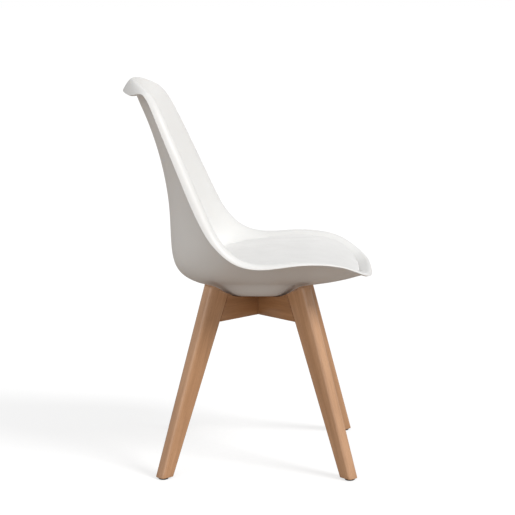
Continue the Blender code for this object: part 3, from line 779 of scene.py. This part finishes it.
def leg_inner(up):
    foot = FOOT_REACH - FOOT_WIDTH
    return foot + (LEG_TOP_REACH - LEG_TOP_WIDTH - foot) * up / LEG_TOP


def leg_cut(share):
    """The height of the top cut, from the inner edge (0) to the outer edge (1)."""
    return LEG_TOP - (1.0 - share) * LEG_TOP_WIDTH * (FOOT_REACH - LEG_TOP_REACH) / LEG_TOP


def quarter_round(middle, radius, start, steps):
    """Points on a quarter circle, anticlockwise from the angle at its start."""
    angles = [start + pi / 2 * i / steps for i in range(steps + 1)]
    return [(middle[0] + radius * cos(angle), middle[1] + radius * sin(angle)) for angle in angles]


def leg_section(width):
    """The outline of a leg of that width, as (distance from the inner edge, side)."""
    half = WOOD_THICKNESS / 2
    points = quarter_round((LEG_ARRIS, LEG_ARRIS - half), LEG_ARRIS, pi, 6)
    points += quarter_round((width - LEG_ROUND, LEG_ROUND - half), LEG_ROUND, -pi / 2, 12)
    return points + [(out, -side) for out, side in reversed(points)]


print("outline of a leg:", len(leg_section(FOOT_WIDTH)), "points")

# %% Legs
def corner_matrix(degrees):
    """Turns what reaches out along +X to a corner of the chair."""
    return Matrix.Translation((0.0, CROSSING_Y, 0.0)) @ Matrix.Rotation(radians(degrees), 4, "Z")


def finish_timber(piece, grain, degrees, material, sharp):
    """Stores each point's place along, across and through the timber, and turns the piece to its corner."""
    attribute = piece.data.attributes.new("grain", "FLOAT_VECTOR", "POINT")
    attribute.data.foreach_set("vector", np.asarray(grain, np.float32).ravel())
    piece.data.transform(corner_matrix(degrees))
    piece.data.shade_smooth()
    piece.data.set_sharp_from_angle(angle=radians(sharp))
    piece.data.materials.append(material)


def make_leg(name, degrees, shift):
    """A leg at its corner. The shift gives each one another stretch of grain."""
    bm = bmesh.new()
    loops = []
    for level in range(LEG_LEVELS + 1):
        t = level / LEG_LEVELS
        loop = []
        base = LEG_FOOT + (LEG_TOP - LEG_FOOT) * t
        width = leg_outer(base) - leg_inner(base)
        for out, side in leg_section(width):
            share = out / width
            up = LEG_FOOT + (leg_cut(share) - LEG_FOOT) * t
            reach = leg_inner(up) + share * (leg_outer(up) - leg_inner(up))
            loop.append(bm.verts.new((reach, side, up)))
        loops.append(loop)
    bm.faces.new(reversed(loops[0]))
    bm.faces.new(loops[-1])
    for lower, upper in zip(loops, loops[1:]):
        for i in range(len(lower)):
            j = (i + 1) % len(lower)
            bm.faces.new((lower[i], lower[j], upper[j], upper[i]))
    bmesh.ops.recalc_face_normals(bm, faces=bm.faces)
    leg = new_object(name, bm)
    ease_edges(leg, LEG_EASE, 3, 50)
    leg = finished(leg)
    lean = (FOOT_REACH - LEG_TOP_REACH) / LEG_TOP
    grain = [(v.co.z + shift, v.co.x + lean * v.co.z + shift * 3, v.co.y + shift) for v in leg.data.vertices]
    finish_timber(leg, grain, degrees, BEECH, 40)
    return leg


for number, (corner, degrees) in enumerate(CORNERS.items()):
    leg = make_leg(f"wood_leg_{corner}", degrees, 0.37 * number)
    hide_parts(f"leg_{corner}")
    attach(leg, "root")
print("leg top:", round(LEG_TOP, 4), " faces in a leg:", len(leg.data.polygons))

# %% [markdown]
# ## The crossed rails
#
# Two rails run from leg to leg and are halved into each other in the middle. Their top edge is flat under
# the shell and then sweeps up to the legs. The outline is extruded, the halving and the bolt holes are cut
# with Boolean, and a small Bevel takes the sharpness off the edges, as sanding does.

# %% Shape of a rail
RAIL_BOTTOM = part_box("rail_upper")[0].z
RAIL_FLAT = 0.066  # half the length of the top edge's flat
RAIL_HOLLOW, RAIL_STEPS = 1.6, 16  # how hollow the sweep up to the leg is, and its steps
RAIL_EASE = 0.0008
BOLT_REACH = 0.046  # from the crossing to a bolt
BOLT_HOLE, COUNTERBORE, COUNTERBORE_DEPTH = 0.007, 0.0165, 0.010
PAST = 0.01  # how far a cutter stands out of what it cuts


def rail_outline():
    """Half of a rail from the side, from its underside outward and back along its top."""
    top = leg_cut(0.0)
    end = leg_inner(top) - GAP
    points = [(leg_inner(RAIL_BOTTOM) - GAP, RAIL_BOTTOM), (end, top)]
    for i in range(1, RAIL_STEPS):
        share = 1.0 - i / RAIL_STEPS
        reach = RAIL_FLAT + (end - RAIL_FLAT) * share
        points.append((reach, RAIL_TOP + (top - RAIL_TOP) * share**RAIL_HOLLOW))
    return points + [(RAIL_FLAT, RAIL_TOP)]


def cylinder_between(bm, diameter, low, high, x):
    place = Matrix.Translation((x, 0.0, (low + high) / 2))
    bmesh.ops.create_cone(bm, cap_ends=True, segments=32, radius1=diameter / 2, radius2=diameter / 2,
                          depth=high - low, matrix=place)


def rail_cutter(keeps_top):
    """What is taken out of a rail: the halving, the bolt holes and their counterbores."""
    bm = bmesh.new()
    middle = (RAIL_BOTTOM + RAIL_TOP) / 2
    low, high = (RAIL_BOTTOM - PAST, middle + GAP / 2) if keeps_top else (middle - GAP / 2, RAIL_TOP + PAST)
    size = (WOOD_THICKNESS + 2 * GAP, 2 * WOOD_THICKNESS, high - low)
    block = bmesh.ops.create_cube(bm, size=1.0)["verts"]
    bmesh.ops.scale(bm, verts=block, vec=size)
    bmesh.ops.translate(bm, verts=block, vec=(0.0, 0.0, (low + high) / 2))
    for x in (-BOLT_REACH, BOLT_REACH):
        cylinder_between(bm, COUNTERBORE, RAIL_BOTTOM - PAST, RAIL_BOTTOM + COUNTERBORE_DEPTH, x)
        cylinder_between(bm, BOLT_HOLE, RAIL_BOTTOM + COUNTERBORE_DEPTH - PAST / 10, RAIL_TOP + PAST, x)
    return new_object("rail_cutter", bm)


print("outline of half a rail:", len(rail_outline()), "points")

# %% Rails
def cut_away(thing, cutter):
    """The object with the cutter's shape taken out of it. The cutter is used up."""
    cut = thing.modifiers.new("cut", "BOOLEAN")
    cut.operation = "DIFFERENCE"
    cut.solver = "EXACT"
    cut.use_self = True
    cut.object = cutter
    thing = finished(thing)
    bpy.data.objects.remove(cutter)
    return thing


def make_rail(name, degrees, keeps_top, shift):
    """One rail of the cross. It keeps the upper or the lower half of its middle."""
    half = rail_outline()
    outline = half + [(-reach, up) for reach, up in reversed(half)]
    bm = bmesh.new()
    face = bm.faces.new([bm.verts.new((reach, -WOOD_THICKNESS / 2, up)) for reach, up in outline])
    grown = bmesh.ops.extrude_face_region(bm, geom=[face])["geom"]
    bmesh.ops.translate(bm, verts=[v for v in grown if isinstance(v, bmesh.types.BMVert)],
                        vec=(0.0, WOOD_THICKNESS, 0.0))
    bmesh.ops.recalc_face_normals(bm, faces=bm.faces)
    rail = cut_away(new_object(name, bm), rail_cutter(keeps_top))
    ease_edges(rail, RAIL_EASE, 2, 60)
    rail = finished(rail)
    grain = [(v.co.x + shift, v.co.z + shift * 3, v.co.y) for v in rail.data.vertices]
    finish_timber(rail, grain, degrees, RAIL_BEECH_PAINTED_SHADE, 35)
    return rail


for name, degrees, keeps_top, shift in (("rail_upper", 45, True, 2.1), ("rail_lower", -45, False, 2.9)):
    rail = make_rail(f"wood_{name}", degrees, keeps_top, shift)
    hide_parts(name)
    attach(rail, "root")
print("rails:", round(RAIL_BOTTOM, 4), "to", round(RAIL_TOP, 4))

# %% [markdown]
# ## Fittings, set out with Geometry Nodes
#
# Bolts, washers, screws, glides and nails each come in fours, so each is modelled once and then set on its
# points by one node tree. The points are a small mesh with a vertex wherever the solid model has that
# fitting. The tree puts a copy on every point, each turned a little further than the last, as fittings
# driven by hand are. It makes the copies real and gives them their material.

# %% Placing tree
def placing_tree():
    """A node tree that sets one fitting on every vertex of a mesh."""
    tree = bpy.data.node_groups.new("set_on_points", "GeometryNodeTree")
    for name, kind in (("Points", "Geometry"), ("Fitting", "Object"), ("Turn", "Float"), ("Finish", "Material")):
        tree.interface.new_socket(name, in_out="INPUT", socket_type=f"NodeSocket{kind}")
    tree.interface.new_socket("Geometry", in_out="OUTPUT", socket_type="NodeSocketGeometry")
    names = ("NodeGroupInput", "GeometryNodeMeshToPoints", "GeometryNodeObjectInfo", "GeometryNodeInputIndex",
             "ShaderNodeMath", "ShaderNodeCombineXYZ", "FunctionNodeEulerToRotation",
             "GeometryNodeInstanceOnPoints", "GeometryNodeRealizeInstances", "GeometryNodeSetMaterial",
             "NodeGroupOutput")
    given, points, fitting, index, turn, euler, rotation, copies, real, finish, out = (
        tree.nodes.new(name) for name in names)
    turn.operation = "MULTIPLY"
    for source, target in (
            (given.outputs["Points"], points.inputs["Mesh"]),
            (given.outputs["Fitting"], fitting.inputs["Object"]),
            (index.outputs[0], turn.inputs[0]), (given.outputs["Turn"], turn.inputs[1]),
            (turn.outputs[0], euler.inputs["Z"]), (euler.outputs[0], rotation.inputs[0]),
            (points.outputs[0], copies.inputs["Points"]),
            (fitting.outputs["Geometry"], copies.inputs["Instance"]),
            (rotation.outputs[0], copies.inputs["Rotation"]), (copies.outputs[0], real.inputs[0]),
            (real.outputs[0], finish.inputs["Geometry"]),
            (given.outputs["Finish"], finish.inputs["Material"]), (finish.outputs[0], out.inputs[0])):
        tree.links.new(source, target)
    return tree


PLACING = placing_tree()
print("inputs of the tree:", [i.name for i in PLACING.interface.items_tree if i.in_out == "INPUT"])

# %% Setting a fitting on its points
def set_on_points(name, fitting, nodes, turn, finish):
    """Copies of a fitting, whose foot is at its own origin, where the solid model's nodes have theirs."""
    bm = bmesh.new()
    for node in nodes:
        low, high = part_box(node)
        bm.verts.new(((low.x + high.x) / 2, (low.y + high.y) / 2, low.z))
    holder = new_object(name, bm)
    modifier = holder.modifiers.new("placing", "NODES")
    modifier.node_group = PLACING
    sockets = {item.name: item.identifier for item in PLACING.interface.items_tree if item.in_out == "INPUT"}
    modifier[sockets["Fitting"]] = fitting
    modifier[sockets["Turn"]] = turn
    modifier[sockets["Finish"]] = finish
    placed = finished(holder)
    bpy.data.objects.remove(fitting)
    placed.data.set_sharp_from_angle(angle=radians(35))
    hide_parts(*nodes)
    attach(placed, "root")
    return placed


def corners_of(stem):
    return [f"{stem}_{corner}" for corner in CORNERS]


print("a fitting goes to", corners_of("frame_bolt"))

# %% [markdown]
# ## Turned and punched pieces
#
# A turned piece is a profile swept round by Spin, and Bevel softens the larger ones. The bolts have a
# six-sided socket and the screws a cross recess, both cut with Boolean.

# %% Turned pieces
def turned(name, profile, sides, ease):
    """A closed piece turned from a profile of (radius, height). It starts on the axis, or is a ring."""
    bm = bmesh.new()
    verts = [bm.verts.new((radius, 0.0, height)) for radius, height in profile]
    edges = [bm.edges.new(pair) for pair in zip(verts, verts[1:])]
    if profile[0][0] > 0.0:
        edges.append(bm.edges.new((verts[-1], verts[0])))
    bmesh.ops.spin(bm, geom=verts + edges, cent=(0, 0, 0), axis=(0, 0, 1), angle=2 * pi, steps=sides,
                   use_duplicate=False)
    bmesh.ops.remove_doubles(bm, verts=bm.verts, dist=0.00001)
    bmesh.ops.recalc_face_normals(bm, faces=bm.faces)
    piece = new_object(name, bm)
    if ease:
        ease_edges(piece, ease, 3, 40)
    piece = finished(piece)
    piece.data.shade_smooth()
    return piece


def recess(piece, cutters):
    """Cuts blocks or prisms, given as (sides, width, depth, turn, lengthening), into the piece's foot."""
    bm = bmesh.new()
    for sides, width, depth, turn, longer in cutters:
        made = bmesh.ops.create_cone(bm, cap_ends=True, segments=sides, radius1=width / 2, radius2=width / 2,
                                     depth=2 * depth, matrix=Matrix.Rotation(turn, 4, "Z"))["verts"]
        bmesh.ops.scale(bm, verts=made, vec=(longer, 1.0, 1.0))
    return cut_away(piece, new_object("recess", bm))


def height_of(node):
    low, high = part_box(node)
    return high.z - low.z


print("a bolt is", round(height_of("frame_bolt_front_left") * 1000, 1), "mm long")

# %% [markdown]
# ## Metal and glides
#
# The bolts, washers, screws and nails are zinc plated: bright, slightly blue, and streaked by the plating
# bath. The glides are a dark tough plastic with a dulled underside.

# %% Metal, brass and dark plastic
def plated_metal(name, light, dark):
    material = new_material(name)
    place = object_coordinates(material)
    colour = varied(material, place, 90.0, dark, light)
    gloss = varied(material, place, 300.0, 0.24, 0.42)
    marks = bump(material, noise(material, place, 900.0, 2.0), 0.00005, 0.4)
    shader(material, {"Base Color": colour, "Roughness": gloss, "Normal": marks}, Metallic=1.0)
    return material


def dark_plastic():
    material = new_material("dark_tough_plastic")
    place = object_coordinates(material)
    colour = varied(material, place, 70.0, (0.085, 0.075, 0.068), (0.12, 0.105, 0.095))
    gloss = varied(material, place, 160.0, 0.46, 0.62)
    grain = bump(material, noise(material, place, 1600.0, 2.0), 0.00005, 0.5)
    shader(material, {"Base Color": colour, "Roughness": gloss, "Normal": grain}, IOR=1.5)
    return material


ZINC = plated_metal("bright_zinc", (0.62, 0.63, 0.65), (0.50, 0.51, 0.52))
BRASS = plated_metal("turned_brass", (0.70, 0.52, 0.24), (0.58, 0.42, 0.18))
GLIDE = dark_plastic()
print("hardware finishes:", ZINC.name, BRASS.name, GLIDE.name)

# %% [markdown]
# ## Bolts and washers
#
# A thread this fine is drawn as close rings instead of a helix: it looks the same and stays one closed
# turned piece. The lengths come from the solid model.

# %% Bolts and washers
BOLT_SHANK, BOLT_HEAD, BOLT_HEAD_HEIGHT = 0.006, 0.010, 0.006
BOLT_SOCKET, BOLT_SOCKET_DEPTH = 0.005, 0.0030
BOLT_PLAIN = 0.018  # the shank's length without thread
THREAD_PITCH, THREAD_DEPTH = 0.001, 0.0005
WASHER_HOLE, WASHER_RIM = 0.0033, 0.0075  # radii


def thread(radius, start, end, pitch):
    """The thread's rings between two heights, as points of a profile."""
    points, up = [], start
    while up < end:
        points += [(radius, up), (radius - THREAD_DEPTH, up + pitch / 2)]
        up += pitch
    return points


def bolt_profile(length):
    """Head, plain shank and thread."""
    profile = [(0.0, 0.0), (BOLT_HEAD / 2, 0.0), (BOLT_HEAD / 2, BOLT_HEAD_HEIGHT),
               (BOLT_SHANK / 2, BOLT_HEAD_HEIGHT)]
    profile += thread(BOLT_SHANK / 2, BOLT_HEAD_HEIGHT + BOLT_PLAIN, length - 2 * THREAD_PITCH, THREAD_PITCH)
    return profile + [(BOLT_SHANK / 2 - 0.0007, length), (0.0, length)]


bolt = recess(turned("bolt", bolt_profile(height_of("frame_bolt_front_left")), 36, 0.0),
              [(6, BOLT_SOCKET / cos(pi / 6), BOLT_SOCKET_DEPTH, 0.0, 1.0)])
placed = set_on_points("frame_bolts", bolt, corners_of("frame_bolt"), radians(37), ZINC)
print("bolts:", len(placed.data.polygons), "faces")

washer_height = height_of("frame_washer_front_left")
washer = turned("washer", ((WASHER_HOLE, washer_height), (WASHER_RIM, washer_height), (WASHER_RIM, 0.0),
                           (WASHER_HOLE, 0.0)), 40, 0.00015)
set_on_points("frame_washers", washer, corners_of("frame_washer"), 0.0, ZINC)

# %% [markdown]
# ## Cushion screws
#
# Four screws come up through the floor of the shell into the board under the foam. They have a low rounded
# head and a coarser thread than the bolts. The floor slopes, so the front pair and the rear pair differ in
# length, and each pair is made for itself.

# %% Cushion screws
SCREW_HEAD, SCREW_SHANK = 0.0045, 0.002  # radii
SCREW_NECK, SCREW_POINT = 0.0055, 0.003  # where the thread starts, and what it leaves free at the point
SCREW_PITCH = 0.0014
CROSS = (0.0018, 0.0014, 2.6)  # the recess: width of an arm, depth, and its lengthening


def screw_profile(length):
    profile = [(0.0, 0.0), (SCREW_HEAD - 0.0014, 0.0), (SCREW_HEAD - 0.0004, 0.0006), (SCREW_HEAD, 0.0015),
               (SCREW_HEAD, 0.0025), (SCREW_SHANK, 0.0025)]
    profile += thread(SCREW_SHANK, SCREW_NECK, length - SCREW_POINT, SCREW_PITCH)
    return profile + [(0.0004, length), (0.0, length)]


for row in ("front", "rear"):
    nodes = [f"cushion_screw_{row}_left", f"cushion_screw_{row}_right"]
    width, depth, longer = CROSS
    screw = recess(turned("screw", screw_profile(height_of(nodes[0])), 32, 0.0),
                   [(4, width, depth, pi / 4, longer), (4, width, depth, 3 * pi / 4, longer)])
    placed = set_on_points(f"cushion_screws_{row}", screw, nodes, radians(51), ZINC)
    print("screws in the", row, "row:", [round(d * 1000, 1) for d in placed.dimensions], "mm")

# %% [markdown]
# ## Glides and their nails
#
# Each foot stands on a flat button of tough plastic with a hollow in its underside. The head of the nail
# that holds it lies in the hollow, clear of the floor.

# %% Glides and nails
GLIDE_RIM, NAIL_HOLE = 0.011, 0.0014  # radii
GLIDE_HEIGHT = height_of("glide_front_left")
NAIL_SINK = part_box("glide_nail_front_left")[0].z
glide = turned("glide", (
    (NAIL_HOLE, GLIDE_HEIGHT), (GLIDE_RIM - 0.0006, GLIDE_HEIGHT), (GLIDE_RIM, 0.0022),
    (GLIDE_RIM - 0.0003, 0.0010), (GLIDE_RIM - 0.0012, 0.0), (0.0042, 0.0), (0.0035, 0.0008),
    (0.0034, 0.0025), (NAIL_HOLE, 0.0025)), 48, 0.0002)
set_on_points("glides", glide, corners_of("glide"), 0.0, GLIDE)

nail_length = height_of("glide_nail_front_left")
nail = turned("nail", ((0.0, 0.0), (0.0022, 0.0002), (0.0030, 0.0007), (0.0030, 0.0012), (0.0011, 0.0014),
                       (0.0011, nail_length - 0.003), (0.0, nail_length)), 24, 0.0)
set_on_points("glide_nails", nail, corners_of("glide_nail"), 0.0, ZINC)
print("nail heads sit", round(NAIL_SINK * 1000, 2), "mm above the floor")

# %% [markdown]
# ## Pieces kept from the solid model
#
# The dowels are inside the wood, the inserts inside the shell's block and the board inside the cushion.
# Their solids are right as they are, so they stay and get their finishes: beech, brass and a plywood whose
# plies lie flat, one dark and one light in turn.

# %% Plywood
PLY = 0.0015  # the thickness of one ply


def plywood():
    material = new_material("plywood_board")
    place = object_coordinates(material)
    height = add_node(material, "ShaderNodeSeparateXYZ", {"Vector": place}).outputs["Z"]
    steps = add_node(material, "ShaderNodeMath", {0: height}, operation="PINGPONG")
    steps.inputs[1].default_value = PLY
    scaled = times(material, steps.outputs[0], 1.0 / PLY)
    plies = ramp(material, scaled, ((0.40, (0.62, 0.45, 0.28)), (0.60, (0.42, 0.27, 0.15))))
    streaks = ramp(material, noise(material, stretched(material, place, (300.0, 12.0, 300.0)), 1.0),
                   ((0.35, (0.85, 0.82, 0.78)), (0.65, (1.0, 1.0, 1.0))))
    colour = blend_colours(material, plies, streaks, 0.6, "MULTIPLY")
    rough = varied(material, place, 200.0, 0.66, 0.82)
    fuzz = bump(material, noise(material, place, 500.0), 0.0001, 0.5)
    shader(material, {"Base Color": colour, "Roughness": rough, "Normal": fuzz}, IOR=1.5)
    return material


PLYWOOD = plywood()
print("board finish:", PLYWOOD.name)

# %% Hidden pieces
def refinish(node, material):
    """Gives a solid of the frame its finish, and leaves its mesh alone."""
    solid = frame["nodes"][node]
    solid.data.materials.clear()
    solid.data.materials.append(material)


refinish("cushion_board", PLYWOOD)
for corner in CORNERS:
    refinish(f"shell_insert_{corner}", BRASS)
    for level in ("lower", "upper"):
        refinish(f"dowel_{level}_{corner}", BEECH_PLAIN)
print("kept from the solid model:", [n for n, o in frame["nodes"].items() if not o.hide_render])
